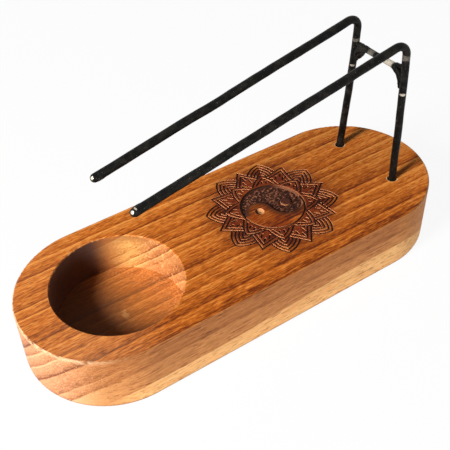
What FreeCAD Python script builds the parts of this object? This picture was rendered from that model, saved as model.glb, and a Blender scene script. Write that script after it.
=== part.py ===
import FreeCAD, Part
import math
import os

V = FreeCAD.Vector

# Incense burner: a hardwood block with a tealight recess, and a welded wire holder standing in it.
# Frame: X along the block from the recess end to the post end, Z up, origin under the block's middle.
# All sizes are in millimetres.

# Wooden block, a stadium in plan
block_length = 182.0
block_width = 68.0
block_height = 26.0
top_edge_round = 0.5
bottom_edge_round = 1.2

# Round recess for a tealight
recess_diameter = 50.0
recess_floor = 8.5            # wood left under the recess
recess_end_wall = 13.5        # wood between the recess and the end of the block
recess_rim_chamfer = 0.4

# Bent wires, set into the block by hand and so a little out of square
wire_diameter = 3.2
wire_stagger = 2.6            # how much further along X the right wire's foot and tip are than the left one's
bend_stagger = 0.9            # the same at the top bends
post_spacing = 30.6           # across the block, between the two posts where they enter it
post_end_margin = 22.5        # from the end of the block to the middle between the posts
post_offset = 1.6             # from the block's middle line to the middle between the posts, to the left
post_rake = 0.8               # how much nearer to the recess the posts are at the top bends
bend_spacing = 25.5           # between the two wires at the top bends
bend_rise = 64.3              # from the block's top to where the post and arm lines cross
bend_radius = 4.6             # on the wire's centre line
arm_reach = 117.7             # along X, from the bends to the tips
arm_drop = 24.4               # from the crossing of the lines down to the tips
tip_spacing = 23.6
tip_flat_radius = 0.4         # of the flat left in the middle of the rounded tips
lean_start = 1.2              # height over the block where the posts begin to lean inwards
lean_radius = 20.0
foot_chamfer = 0.3

# Blind holes for the posts
post_clearance = 0.3          # all round the post
hole_floor = 8.0              # wood left under the holes
hole_rim_chamfer = 0.2

# Cross brace, a thinner wire staple between the posts
brace_diameter = 2.5
brace_rise = 51.6             # from the block's top to the brace's middle
brace_leg = 7.0
brace_corner_radius = 5.6
brace_cope = 1.4              # how deep a brace leg is ground away to fit round its post

# Weld beads and tip stops
upper_weld_radius = 0.95
upper_weld_reach = 2.9        # from the post's side to the middle of the upper bead's end
upper_weld_bite = 0.5         # how far the upper bead sinks into the brace
lower_weld_radius = 1.4
lower_weld_length = 5.0
lower_weld_overrun = 1.0      # how far the lower bead runs past the end of the brace leg
stop_radius = 1.35
stop_length = 4.6
stop_proud = 0.6              # how far the stop stands out from the side of the wire

# Engraved medallion on the top face
medallion_gap = 19.1          # plain wood between the recess and the petals
medallion_offset = 1.1        # from the block's middle line to the medallion's middle, to the left
groove_width = 0.8
groove_depth = 0.5
line_pitch = 1.45             # between neighbouring lines of one petal
ring_radius = 13.0
ring_width = 0.8
ring_depth = 0.7
petal_count = 8
front_tip = 20.3
front_arch_radius = 14.8
front_arch_offset = 8.3       # of each arc's centre, across the petal
front_lines = 2
front_stroke_turn = 3.5       # degrees from the middle of a front petal to each of its two strokes
front_stroke_start = 1.4      # from the ring's middle line to the strokes
front_stroke_length = 1.8
star_tip = 25.8
star_wide_radius = 18.1       # where the sides of neighbouring star petals meet
star_lines = 2
stroke_count = 9
stroke_step = 4.8             # degrees between neighbouring strokes
stroke_length = 2.5
stroke_gap = 0.7              # between the strokes and the petal's inner line
back_tip = 27.5
back_arch_radius = 11.5
back_arch_offset = 4.6

# The two-drop disc in the medallion's middle
disc_turn = -3.0
pocket_depth = 1.1
pocket_flare = 0.9            # how much wider the sunk drop is at the top than at its floor
pocket_corner = 0.1           # width of the drop's blunt tail at its floor
island_diameter = 4.3
island_round = 0.7
dimple_diameter = 3.8
dimple_depth = 1.0

# Places that follow from the sizes
tolerance = 1e-3              # for finding edges by their place
half_length = block_length / 2
top = block_height
wire_radius = wire_diameter / 2
brace_radius = brace_diameter / 2
leg_offset = wire_radius + brace_radius - brace_cope
recess_x = -half_length + recess_end_wall + recess_diameter / 2
post_x = half_length - post_end_margin
bend_x = post_x - post_rake
medallion_x = recess_x + recess_diameter / 2 + medallion_gap + back_tip
bend_z = top + bend_rise
lean_z = top + lean_start
brace_z = top + brace_rise
drop_radius = ring_radius + ring_width / 2 - pocket_corner - pocket_flare
half_petal = 180 / petal_count
sides = {"left": 1, "right": -1}


def polar(radius, degrees):
    """Point at a radius and angle in the XY plane."""
    angle = math.radians(degrees)
    return V(radius * math.cos(angle), radius * math.sin(angle), 0)


def tangent_path(points, radii):
    """Wire of straight runs joined by tangent arcs, one radius for each inner point."""
    edges = []
    start = points[0]
    for index, radius in enumerate(radii, 1):
        corner = points[index]
        back = (points[index - 1] - corner).normalize()
        ahead = (points[index + 1] - corner).normalize()
        half = back.getAngle(ahead) / 2
        enter = corner + back * (radius / math.tan(half))
        leave = corner + ahead * (radius / math.tan(half))
        inward = (back + ahead).normalize()
        middle = corner + inward * (radius / math.sin(half) - radius)
        edges.append(Part.LineSegment(start, enter).toShape())
        edges.append(Part.Arc(enter, middle, leave).toShape())
        start = leave
    edges.append(Part.LineSegment(start, points[-1]).toShape())
    return Part.Wire(edges)


def bent_wire(points, radii, radius):
    """Round wire of one radius along straight runs and tangent arcs."""
    path = tangent_path(points, radii)
    profile = Part.Wire([Part.makeCircle(radius, points[0], points[1] - points[0])])
    return path.makePipeShell([profile], True, False)


def end_edges(solid, point):
    """Edges of the flat end of a wire at a point."""
    return [edge for edge in solid.Edges if edge.CenterOfMass.distanceToPoint(point) < tolerance]


def bead(start, end, radius):
    """Round bar with ball ends between two points."""
    line = end - start
    body = Part.makeCylinder(radius, line.Length, start, line)
    for point in (start, end):
        body = body.fuse(Part.makeSphere(radius, point))
    return body.removeSplitter()


def rod_points(side):
    """Foot, lean point, bend crossing and tip of one rod's centre line."""
    post = V(post_x - side * wire_stagger / 2, post_offset + side * post_spacing / 2, 0)
    return [
        post + V(0, 0, hole_floor),
        post + V(0, 0, lean_z),
        V(bend_x - side * bend_stagger / 2, side * bend_spacing / 2, bend_z),
        V(bend_x - arm_reach - side * wire_stagger / 2, side * tip_spacing / 2, bend_z - arm_drop),
    ]


def post_point(side, height):
    """Point of a leaning post's centre line at a height."""
    lean, crossing = rod_points(side)[1:3]
    return lean + (crossing - lean) * ((height - lean.z) / (crossing.z - lean.z))


def inward(side):
    """Level direction at the brace from one post to the other."""
    return (post_point(-side, brace_z) - post_point(side, brace_z)).normalize()


def arm_rod(side):
    """One bent wire: the post in its hole, the top bend and the sloping arm."""
    points = rod_points(side)
    rod = bent_wire(points, [lean_radius, bend_radius], wire_radius)
    rod = rod.makeChamfer(foot_chamfer, end_edges(rod, points[0]))
    return rod.makeFillet(wire_radius - tip_flat_radius, end_edges(rod, points[-1]))


def beside_post(side, height, distance):
    """Point at a height and a distance from a post's centre line, towards the other post."""
    return post_point(side, height) + inward(side) * distance


def leg_point(side, height):
    """Point of a brace leg's centre line, set into the side of the post at a height."""
    return beside_post(side, height, leg_offset)


def cross_brace(rods):
    """Thin wire staple between the posts, its legs ground to fit round them."""
    foot_z = brace_z - brace_leg
    points = [leg_point(1, foot_z), leg_point(1, brace_z), leg_point(-1, brace_z), leg_point(-1, foot_z)]
    return bent_wire(points, [brace_corner_radius] * 2, brace_radius).cut(rods)


def upper_weld(side, rod, brace):
    """Bead from the post's side over the brace's corner, sunk a little into the brace."""
    across = leg_offset + brace_corner_radius - wire_radius - upper_weld_reach
    rise = math.sqrt((brace_corner_radius + brace_radius) ** 2 - across ** 2) - brace_corner_radius
    height = brace_z + rise + upper_weld_radius - upper_weld_bite
    start = beside_post(side, height, wire_radius)
    end = start + inward(side) * upper_weld_reach
    return bead(start, end, upper_weld_radius).cut([rod, brace])


def lower_weld(side, rod, brace):
    """Bead round the foot of the brace leg, along the side of the post."""
    low = brace_z - brace_leg - lower_weld_overrun + lower_weld_radius
    high = low + lower_weld_length - 2 * lower_weld_radius
    start = beside_post(side, low, wire_radius)
    end = beside_post(side, high, wire_radius)
    return bead(start, end, lower_weld_radius).cut([rod, brace])


def tip_stop(side, rod):
    """Low bead on the inner side of an arm's tip, which keeps a sieve on the arms."""
    crossing, tip = rod_points(side)[2:]
    along = (tip - crossing).normalize()
    shift = V(0, -side * (wire_radius + stop_proud - stop_radius), 0)
    end = tip - along * stop_radius + shift
    return bead(end - along * stop_length, end, stop_radius).cut(rod)


def flat_face(edges):
    """Flat face inside a closed chain of edges."""
    return Part.Face(Part.Wire(Part.__sortEdges__(edges)))


def polygon(points):
    """Flat face inside a closed row of points."""
    return Part.Face(Part.makePolygon(points + points[:1]))


def star_petal(inset):
    """Pointed petal on the X axis, drawn in by an inset: straight shoulders, then sides to the middle."""
    tip = polar(star_tip, 0)
    wide = polar(star_wide_radius, half_petal)
    half_tip = (wide - tip).getAngle(-tip)
    half_wide = (tip - wide).getAngle(-wide) / 2
    inner = ((tip - wide).normalize() - polar(1, half_petal)).normalize()
    tip = tip - V(inset / math.sin(half_tip), 0, 0)
    wide = wide + inner * (inset / math.sin(half_wide))
    foot = V(inset / math.sin(math.radians(half_petal)), 0, 0)
    return polygon([tip, wide, foot, V(wide.x, -wide.y, 0)])


def pointed_arch(tip_radius, arc_radius, arc_offset, inset):
    """Pointed arch on the X axis, drawn in by an inset: two arcs that meet at the tip."""
    centre_x = tip_radius - math.sqrt(arc_radius ** 2 - arc_offset ** 2)
    radius = arc_radius - inset
    tip = V(centre_x + math.sqrt(radius ** 2 - arc_offset ** 2), 0, 0)
    edges = []
    feet = []
    for side in (1, -1):
        centre = V(centre_x, -side * arc_offset, 0)
        foot = centre + V(0, side * radius, 0)
        half_turn = side * (math.atan2(arc_offset, tip.x - centre_x) + math.pi / 2) / 2
        middle = centre + V(radius * math.cos(half_turn), radius * math.sin(half_turn), 0)
        edges.append(Part.Arc(foot, middle, tip).toShape())
        feet.append(foot)
    edges.append(Part.LineSegment(feet[0], feet[1]).toShape())
    return flat_face(edges)


def back_petal(inset):
    """Arched petal that shows between two star petals."""
    return pointed_arch(back_tip, back_arch_radius, back_arch_offset, inset)


def front_petal(inset):
    """Arched petal that stands on the ring, over the sides of two star petals."""
    return pointed_arch(front_tip, front_arch_radius, front_arch_offset, inset)


def line_bands(petal, lines):
    """Groove outlines of a petal's nested lines."""
    insets = [number * line_pitch for number in range(lines)]
    return [petal(inset).cut(petal(inset + groove_width)) for inset in insets]


def stroke(start, end, degrees):
    """Straight groove between two radii, turned by an angle."""
    half = groove_width / 2
    corners = [V(start, -half, 0), V(end, -half, 0), V(end, half, 0), V(start, half, 0)]
    return turned(polygon(corners), degrees)


def front_strokes():
    """Two short strokes at the foot of a front petal."""
    start = ring_radius + front_stroke_start
    return [stroke(start, start + front_stroke_length, side * front_stroke_turn) for side in sides.values()]


def star_strokes():
    """Short strokes that fan out inside a star petal, up to its inner line."""
    wide = polar(star_wide_radius, half_petal)
    half_tip = math.atan2(wide.y, star_tip - wide.x)
    inset = (star_lines - 1) * line_pitch + groove_width
    inner_tip = star_tip - inset / math.sin(half_tip)
    faces = []
    for index in range(stroke_count):
        turn = (index - (stroke_count - 1) / 2) * stroke_step
        line_radius = inner_tip * math.sin(half_tip) / math.sin(half_tip + math.radians(abs(turn)))
        end = line_radius - stroke_gap
        faces.append(stroke(end - stroke_length, end, turn))
    return faces


def turned(shape, degrees):
    """Copy of a flat shape turned about the medallion's middle."""
    copy = shape.copy()
    copy.rotate(V(0, 0, 0), V(0, 0, 1), degrees)
    return copy


def petal_layer(petal, bands, angles, covers):
    """Groove faces and filled outlines of one layer of petals, hidden by the layers over it."""
    grooves = []
    outlines = []
    for angle in angles:
        outlines.append(turned(petal(0), angle))
        for band in bands:
            grooves.extend(turned(band, angle).cut(covers).Faces)
    return grooves, outlines


def petal_grooves():
    """All groove faces of the petals, outside the ring."""
    axes = [index * 2 * half_petal for index in range(petal_count)]
    between = [angle + half_petal for angle in axes]
    back_lines = 1 + int((back_arch_radius - back_arch_offset - groove_width) / line_pitch)
    front = line_bands(front_petal, front_lines) + front_strokes()
    star = line_bands(star_petal, star_lines) + star_strokes()
    back = line_bands(back_petal, back_lines)
    covers = [Part.Face(Part.Wire([Part.makeCircle(ring_radius + ring_width)]))]
    grooves = []
    for petal, bands, angles in (
        (front_petal, front, between),
        (star_petal, star, axes),
        (back_petal, back, between),
    ):
        faces, outlines = petal_layer(petal, bands, angles, covers)
        grooves += faces
        covers += outlines
    return grooves


def drop_wire(widening, height):
    """Outline of the sunk half of the disc, a drop with its head towards +X, at a height."""
    half = drop_radius / 2
    outer = drop_radius + widening
    head = half + widening
    tail = half - widening
    edges = [
        Part.Arc(V(outer, 0, height), V(0, outer, height), V(-outer, 0, height)).toShape(),
        Part.LineSegment(V(-outer, 0, height), V(-half - tail, 0, height)).toShape(),
        Part.Arc(V(-half - tail, 0, height), V(-half, tail, height), V(-widening, 0, height)).toShape(),
        Part.Arc(V(-widening, 0, height), V(half, -head, height), V(outer, 0, height)).toShape(),
    ]
    return Part.Wire(edges)


def pocket_cutter():
    """Sunk drop with sloping walls, its raised island left standing."""
    floor = drop_wire(pocket_corner, 0)
    mouth = drop_wire(pocket_corner + pocket_flare, pocket_depth)
    pocket = Part.makeLoft([floor, mouth], True, True)
    head = V(drop_radius / 2, 0, 0)
    island = Part.makeCylinder(island_diameter / 2, pocket_depth, head)
    rim = [edge for edge in island.Edges if edge.BoundBox.ZMin > pocket_depth / 2]
    return pocket.cut(island.makeFillet(min(island_round, pocket_depth / 2), rim))


def ring_cutter():
    """Groove round the disc."""
    outer = Part.makeCylinder(ring_radius + ring_width / 2, ring_depth)
    return outer.cut(Part.makeCylinder(ring_radius - ring_width / 2, ring_depth))


def dimple_cutter():
    """Shallow ball-shaped dimple in the head of the smooth drop."""
    half = dimple_diameter / 2
    radius = (half ** 2 + dimple_depth ** 2) / (2 * dimple_depth)
    middle = V(-drop_radius / 2, 0, radius - dimple_depth)
    return Part.makeSphere(radius, middle)


def placed(shape, depth):
    """Cutter moved to the medallion's place, its bottom at a depth under the block's top."""
    shape.rotate(V(0, 0, 0), V(0, 0, 1), disc_turn)
    shape.translate(V(medallion_x, medallion_offset, top - depth))
    return shape


def block_blank():
    """Plain stadium block with rounded edges."""
    end_x = half_length - block_width / 2
    half = block_width / 2
    edges = [
        Part.LineSegment(V(-end_x, -half, 0), V(end_x, -half, 0)).toShape(),
        Part.Arc(V(end_x, -half, 0), V(half_length, 0, 0), V(end_x, half, 0)).toShape(),
        Part.LineSegment(V(end_x, half, 0), V(-end_x, half, 0)).toShape(),
        Part.Arc(V(-end_x, half, 0), V(-half_length, 0, 0), V(-end_x, -half, 0)).toShape(),
    ]
    blank = flat_face(edges).extrude(V(0, 0, block_height))
    for height, radius in ((0, bottom_edge_round), (top, top_edge_round)):
        rim = [edge for edge in blank.Edges if abs(edge.CenterOfMass.z - height) < tolerance]
        blank = blank.makeFillet(radius, rim)
    return blank


def round_cutter(x, y, diameter, floor, chamfer):
    """Flat-bottomed round hole from the top face, with a chamfered rim."""
    radius = diameter / 2
    hole = Part.makeCylinder(radius, top - floor, V(x, y, floor))
    rim = Part.makeCone(radius, radius + chamfer, chamfer, V(x, y, top - chamfer))
    return hole.fuse(rim)


def base_block():
    """Wooden block with the recess, the post holes and the engraved medallion."""
    cutters = [round_cutter(recess_x, 0, recess_diameter, recess_floor, recess_rim_chamfer)]
    hole_diameter = wire_diameter + 2 * post_clearance
    for side in sides.values():
        foot = rod_points(side)[0]
        cutters.append(round_cutter(foot.x, foot.y, hole_diameter, hole_floor, hole_rim_chamfer))
    block = block_blank().cut(cutters)
    grooves = []
    for face in petal_grooves():
        groove = face.extrude(V(0, 0, groove_depth))
        groove.translate(V(medallion_x, medallion_offset, top - groove_depth))
        grooves.append(groove)
    disc = [
        placed(ring_cutter(), ring_depth),
        placed(pocket_cutter(), pocket_depth),
        placed(dimple_cutter(), 0),
    ]
    return block.cut(grooves + disc)


def main():
    """Build every piece and write one file for each."""
    os.makedirs("parts", exist_ok=True)
    rods = {name: arm_rod(side) for name, side in sides.items()}
    brace = cross_brace(list(rods.values()))
    pieces = {"base_block": base_block(), "cross_brace": brace}
    for name, side in sides.items():
        rod = rods[name]
        pieces[name + "_rod"] = rod
        pieces[name + "_upper_weld"] = upper_weld(side, rod, brace)
        pieces[name + "_lower_weld"] = lower_weld(side, rod, brace)
        pieces[name + "_tip_stop"] = tip_stop(side, rod)
    for name, shape in pieces.items():
        shape.exportStep("parts/" + name + ".step")
        print(name, len(shape.Solids), shape.isValid(), round(shape.Volume, 2))


main()
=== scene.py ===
"""Looks of a tealight incense burner: an oiled hardwood block and a blackened wire holder.

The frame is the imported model's, in metres. Sizes in the classes are in millimetres.
"""

import logging
import math
from dataclasses import dataclass, replace
from enum import Enum

import bmesh
import bpy
from bpy.types import Material, NodeSocket, Object
from mathutils import Matrix, Vector, noise
from mathutils.geometry import interpolate_bezier

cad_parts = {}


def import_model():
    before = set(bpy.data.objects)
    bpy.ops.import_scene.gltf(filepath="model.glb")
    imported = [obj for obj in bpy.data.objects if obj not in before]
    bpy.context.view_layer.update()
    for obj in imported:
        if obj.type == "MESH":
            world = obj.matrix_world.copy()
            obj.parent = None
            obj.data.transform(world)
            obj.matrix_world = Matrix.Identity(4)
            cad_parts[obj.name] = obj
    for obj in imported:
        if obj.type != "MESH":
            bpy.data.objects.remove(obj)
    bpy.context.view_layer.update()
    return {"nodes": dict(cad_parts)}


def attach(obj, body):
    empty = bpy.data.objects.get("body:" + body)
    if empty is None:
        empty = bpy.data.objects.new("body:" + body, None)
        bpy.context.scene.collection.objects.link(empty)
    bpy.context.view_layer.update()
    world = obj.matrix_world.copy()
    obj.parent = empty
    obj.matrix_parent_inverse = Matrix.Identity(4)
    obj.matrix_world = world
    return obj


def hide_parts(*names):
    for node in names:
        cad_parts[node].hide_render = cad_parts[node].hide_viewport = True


LOG = logging.getLogger("incense_burner")
MM = 0.001
WAVE_SEED = 5

Triple = tuple[float, float, float]
Colour = tuple[float, float, float]
Shades = tuple[Colour, Colour, Colour]
Span = tuple[float, float]


def paint(red: int, green: int, blue: int) -> Colour:
    """Linear colour of a paint-chart colour.

    Args:
        red: Red from 0 to 255, as a screen shows it.
        green: Green from 0 to 255.
        blue: Blue from 0 to 255.

    Returns:
        The colour as a shader socket takes it.
    """
    shares = (level / 255 for level in (red, green, blue))
    linear = [share / 12.92 if share < 0.04 else ((share + 0.055) / 1.055) ** 2.4 for share in shares]
    return linear[0], linear[1], linear[2]


class Value:
    """A number that changes over a surface: a socket with the usual operators."""

    def __init__(self, graph: "Graph", socket: NodeSocket) -> None:
        """Wrap a socket of a graph."""
        self.graph = graph
        self.socket = socket

    def _math(self, operation: str, first: "Value | float", second: "Value | float" = 0.0) -> "Value":
        """Value of one Math node."""
        return self.graph.value("ShaderNodeMath", {"operation": operation}, {0: first, 1: second})

    def __add__(self, other: "Value | float") -> "Value":
        """Sum."""
        return self._math("ADD", self, other)

    __radd__ = __add__

    def __sub__(self, other: "Value | float") -> "Value":
        """Difference."""
        return self._math("SUBTRACT", self, other)

    def __rsub__(self, other: "Value | float") -> "Value":
        """Difference from a number."""
        return self._math("SUBTRACT", other, self)

    def __mul__(self, other: "Value | float") -> "Value":
        """Product."""
        return self._math("MULTIPLY", self, other)

    def __truediv__(self, other: "Value | float") -> "Value":
        """Quotient."""
        return self._math("DIVIDE", self, other)

    def __pow__(self, other: "Value | float") -> "Value":
        """Power."""
        return self._math("POWER", self, other)

    def __abs__(self) -> "Value":
        """Size without sign."""
        return self._math("ABSOLUTE", self)

    def most(self, other: "Value | float") -> "Value":
        """The larger of two values."""
        return self._math("MAXIMUM", self, other)

    def least(self, other: "Value | float") -> "Value":
        """The smaller of two values."""
        return self._math("MINIMUM", self, other)

    def across(self, other: "Value | float") -> "Value":
        """Length of the hypotenuse over two values."""
        return (self * self + other * other) ** 0.5

    def fade(self, start: float, end: float) -> "Value":
        """Smooth step.

        Args:
            start: Where the step is 0.
            end: Where the step is 1, above or below start.

        Returns:
            A value from 0 to 1.
        """
        ends = {"Value": self, "From Min": start, "From Max": end}
        return self.graph.value("ShaderNodeMapRange", {"interpolation_type": "SMOOTHSTEP"}, ends)


class Graph:
    """Node tree of a material or world, with one method that adds any node."""

    def __init__(self, tree: bpy.types.NodeTree) -> None:
        """Start an empty tree."""
        self.tree = tree
        tree.nodes.clear()

    def node(self, kind: str, settings: dict | None = None, inputs: dict | None = None) -> bpy.types.Node:
        """Add a node.

        Args:
            kind: Blender's name of the node's type.
            settings: The node's own properties, and "stops" for a ramp; these are set first.
            inputs: A value, link or constant for each socket, by name, identifier or number.

        Returns:
            The new node.
        """
        node = self.tree.nodes.new(kind)
        for name, setting in (settings or {}).items():
            if name == "stops":
                self._set_stops(node.color_ramp, setting)
            else:
                setattr(node, name, setting)
        named = {socket.identifier: socket for socket in node.inputs}
        for name, item in (inputs or {}).items():
            socket = named[name] if name in named else node.inputs[name]
            if isinstance(item, Value):
                item = item.socket
            if isinstance(item, NodeSocket):
                self.tree.links.new(item, socket)
            elif socket.type == "RGBA":
                socket.default_value = (*item, 1.0)
            else:
                socket.default_value = item
        return node

    @staticmethod
    def _set_stops(ramp: bpy.types.ColorRamp, stops: list[tuple[float, Colour]]) -> None:
        """Give a ramp its stops, from low to high."""
        while len(ramp.elements) < len(stops):
            ramp.elements.new(1.0)
        for element, (place, colour) in zip(ramp.elements, stops):
            element.position = place
            element.color = (*colour, 1.0)

    def value(self, kind: str, settings: dict | None = None, inputs: dict | None = None) -> Value:
        """Add a node and take its first output as a number."""
        return Value(self, self.node(kind, settings, inputs).outputs[0])

    def point(self) -> NodeSocket:
        """Place on the object, as a vector in millimetres."""
        inputs = {0: self.node("ShaderNodeTexCoord").outputs["Object"], "Scale": 1 / MM}
        return self.node("ShaderNodeVectorMath", {"operation": "SCALE"}, inputs).outputs[0]

    def parts(self, vector: NodeSocket) -> tuple[Value, Value, Value]:
        """The three numbers of a vector."""
        split = self.node("ShaderNodeSeparateXYZ", None, {0: vector}).outputs
        return Value(self, split[0]), Value(self, split[1]), Value(self, split[2])

    def vector(self, x: Value | float, y: Value | float, z: Value | float) -> NodeSocket:
        """A vector of three numbers."""
        return self.node("ShaderNodeCombineXYZ", None, {0: x, 1: y, 2: z}).outputs[0]

    def grain(self, place: NodeSocket, cell: Triple, detail: float, seed: float) -> Value:
        """Noise about 0.5, stretched to cells of a given size.

        Args:
            place: Where the noise is read, in millimetres.
            cell: Size of a cell along X, Y and Z in millimetres.
            detail: Layers of finer noise.
            seed: Picks another pattern.

        Returns:
            A value mostly from 0.25 to 0.75.
        """
        scaled = self._vectors("DIVIDE", place, cell)
        inputs = {"Vector": scaled, "W": seed, "Scale": 1.0, "Detail": detail}
        return self.value("ShaderNodeTexNoise", {"noise_dimensions": "4D"}, inputs)

    def _vectors(self, operation: str, first: NodeSocket, second: Triple) -> NodeSocket:
        """A vector combined with three constants."""
        return self.node("ShaderNodeVectorMath", {"operation": operation}, {0: first, 1: second}).outputs[0]

    def distance(self, place: NodeSocket, middle: Triple, half: Triple) -> Value:
        """Distance of a place from a middle, as a share of an ellipsoid's half sizes."""
        share = self._vectors("DIVIDE", self._vectors("SUBTRACT", place, middle), half)
        length = self.node("ShaderNodeVectorMath", {"operation": "LENGTH"}, {0: share})
        return Value(self, length.outputs["Value"])

    def blend(
        self,
        share: Value | float,
        first: NodeSocket | Colour,
        second: NodeSocket | Colour,
        way: str = "MIX",
    ) -> NodeSocket:
        """Mix two colours.

        Args:
            share: How much of the second colour, from 0 to 1.
            first: Colour at 0.
            second: Colour at 1.
            way: Blend type of the Mix node.

        Returns:
            The mixed colour's socket.
        """
        inputs = {"Factor_Float": share, "A_Color": first, "B_Color": second}
        return self.node("ShaderNodeMix", {"data_type": "RGBA", "blend_type": way}, inputs).outputs[2]

    def ramp(self, place: Value, stops: list[tuple[float, Colour]]) -> NodeSocket:
        """Colour along a ramp."""
        return self.node("ShaderNodeValToRGB", {"stops": stops}, {0: place}).outputs[0]

    def shades(self, place: Value, shades: Shades, stops: Triple = (0.0, 0.5, 1.0)) -> NodeSocket:
        """Colour along a ramp of three shades, from dark to light."""
        return self.ramp(place, list(zip(stops, shades)))

    def bump(self, height: Value, depth: float) -> NodeSocket:
        """Normal of a surface raised by a height times a depth in millimetres."""
        return self.node("ShaderNodeBump", None, {"Height": height, "Distance": depth * MM}).outputs[0]

    def surface(self, shader: dict) -> None:
        """Close the tree with one Principled shader."""
        made = self.node("ShaderNodeBsdfPrincipled", None, shader).outputs[0]
        self.node("ShaderNodeOutputMaterial", None, {"Surface": made})


class Layers:
    """Colours laid over each other, from the lowest up."""

    def __init__(self, graph: Graph, colour: NodeSocket) -> None:
        """Start with the lowest colour."""
        self.graph = graph
        self.colour = colour

    def over(self, share: Value | float, colour: NodeSocket | Colour) -> None:
        """Cover a share of what is there."""
        self.colour = self.graph.blend(share, self.colour, colour)

    def stain(self, share: Value | float, colour: Colour) -> None:
        """Darken a share of what is there, as a see-through stain does."""
        self.colour = self.graph.blend(share, self.colour, colour, "MULTIPLY")


def new_material(name: str) -> tuple[Material, Graph]:
    """A material and its empty graph."""
    material = bpy.data.materials.new(name)
    material.use_nodes = True
    return material, Graph(material.node_tree)


@dataclass(frozen=True)
class BlockSizes:
    """Sizes of the block that its finish follows."""

    half_length: float = 91.0
    half_width: float = 34.0
    height: float = 26.0
    recess_x: float = -52.5
    recess_radius: float = 25.0
    recess_floor: float = 8.5
    post_x: float = 68.5
    post_half: float = 15.3
    post_offset: float = 1.6
    post_stagger: float = 2.6
    post_hole: float = 1.9
    medallion_x: float = 19.1
    medallion_y: float = 1.1
    medallion_radius: float = 27.5
    ring_radius: float = 13.4
    groove_depth: float = 0.5
    disc_turn: float = -3.0
    drop_radius: float = 12.4
    island_radius: float = 2.15
    dimple_radius: float = 1.9


@dataclass(frozen=True)
class WoodColours:
    """Colours of the block's wood, of its stains and burns, and of its painted light and shade."""

    oiled: Shades = (paint(112, 46, 8), paint(198, 104, 30), paint(244, 156, 72))
    oiled_pore: Colour = paint(80, 34, 8)
    oiled_vessel: Colour = paint(170, 140, 120)
    worn: Colour = paint(212, 156, 112)
    dry: Shades = (paint(112, 60, 26), paint(176, 110, 58), paint(212, 146, 86))
    dry_pore: Colour = paint(128, 72, 36)
    dry_vessel: Colour = paint(186, 158, 136)
    dry_dash: Colour = paint(176, 140, 112)
    end_grain: Shades = (paint(118, 64, 34), paint(184, 124, 82), paint(214, 162, 118))
    turned: Colour = paint(238, 230, 206)
    # Painted light on the sides towards the post end, where the lamp's light falls off.
    post_end_painted_light: Colour = paint(232, 156, 84)
    sapwood: Shades = (paint(196, 124, 62), paint(235, 166, 98), paint(252, 202, 136))
    # Torn fibres and a painted highlight along the ends' upper edge.
    torn_and_highlit_edge: Colour = paint(226, 184, 142)
    glint: Colour = paint(228, 188, 148)
    # Painted shade along the bottom edge of the sides.
    bottom_painted_shade: Colour = paint(104, 66, 40)
    bored_end: Shades = (paint(132, 70, 34), paint(196, 126, 72), paint(224, 166, 106))
    bored_side: Shades = (paint(176, 108, 46), paint(230, 168, 92), paint(252, 206, 132))
    bored_torn: Colour = paint(250, 204, 136)
    smeared: Colour = paint(150, 88, 44)
    # Painted half-shade and painted shade of the recess towards the block's end, where the lamp's light
    # doesn't reach.
    wall_painted_half_shade: Colour = paint(182, 108, 56)
    wall_painted_shade: Colour = paint(82, 60, 55)
    floor: Colour = paint(176, 122, 70)
    # Painted shade of the recess floor towards the block's end.
    floor_painted_shade: Colour = paint(92, 73, 64)
    # Pale flecks on the recess floor: dust, and painted sparkle where the lamp lights it.
    dust_and_sparkle: Colour = paint(232, 170, 108)
    spur_mark: Colour = paint(236, 176, 108)
    recess_rim: Colour = paint(236, 174, 108)
    hole_rim: Colour = paint(240, 190, 134)
    haze: Colour = paint(149, 113, 122)
    smoked: Colour = paint(188, 152, 128)
    soot: Colour = paint(46, 20, 8)
    pocket_wall: Colour = paint(62, 34, 24)
    pocket_wall_lit: Colour = paint(150, 94, 64)
    ash: Shades = (paint(26, 10, 6), paint(70, 36, 24), paint(168, 106, 76))
    island: Colour = paint(214, 138, 90)
    island_top: Colour = paint(72, 34, 22)
    dimple: Colour = paint(214, 148, 96)
    # Painted shade on the dimple's side away from the lamp.
    dimple_painted_shade: Colour = paint(40, 18, 8)
    groove_wall: Colour = paint(230, 152, 102)
    char: Colour = paint(50, 23, 13)


@dataclass(frozen=True)
class Spot:
    """A point of the block as its finish sees it: its place, depth under the top and place in the grain."""

    graph: Graph
    place: NodeSocket
    x: Value
    y: Value
    z: Value
    depth: Value
    rings: Value
    lie: NodeSocket


@dataclass(frozen=True)
class Mark:
    """A point in the medallion's own directions, in millimetres, and a mask of the engraved layer."""

    along: Value
    over: Value
    radius: Value
    past_ring: Value
    past_petals: Value
    layer: Value


@dataclass(frozen=True)
class Figure:
    """The wood's pattern: values about 0 for rings, streaks, dashes and flecks, and masks of pores."""

    ring: Value
    streak: Value
    dash: Value
    fleck: Value
    pore: Value
    vessel: Value

    def tone(self, ring: float, streak: float, dash: float, fleck: float) -> Value:
        """Lightness about 0.5, with a share of each part of the pattern."""
        return self.ring * ring + self.streak * streak + self.dash * dash + self.fleck * fleck + 0.5


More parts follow.
